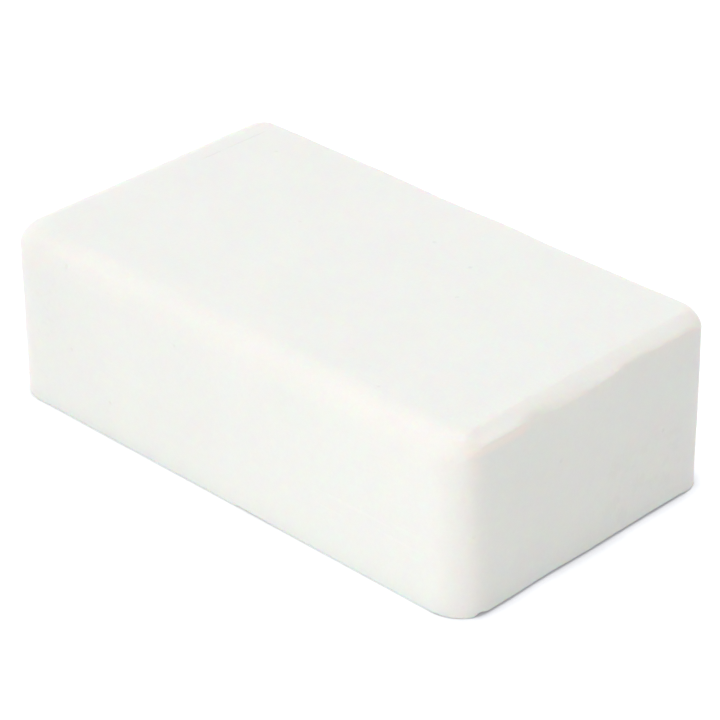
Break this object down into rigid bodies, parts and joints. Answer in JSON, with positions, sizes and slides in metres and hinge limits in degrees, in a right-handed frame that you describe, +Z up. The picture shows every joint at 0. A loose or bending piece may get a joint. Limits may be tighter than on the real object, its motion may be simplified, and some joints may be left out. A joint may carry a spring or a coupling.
{
  "type": "gymnastics chalk block",
  "caption": "Solid pressed block of white gymnastics chalk with rounded corners and edges, rubbed on the hands for a dry grip.",
  "frame": {"origin": "centre of the base, on the surface that the block rests on", "axes": "+X along the length, towards the end with the lipped edge; +Y across the width; +Z up through the thickness"},
  "size_m": [0.09, 0.051, 0.0275],
  "materials": {
    "pressed_chalk": "satin"
  },
  "bodies": {
    "root": {"chalk_block": "pressed_chalk"}
  },
  "joints": []
}
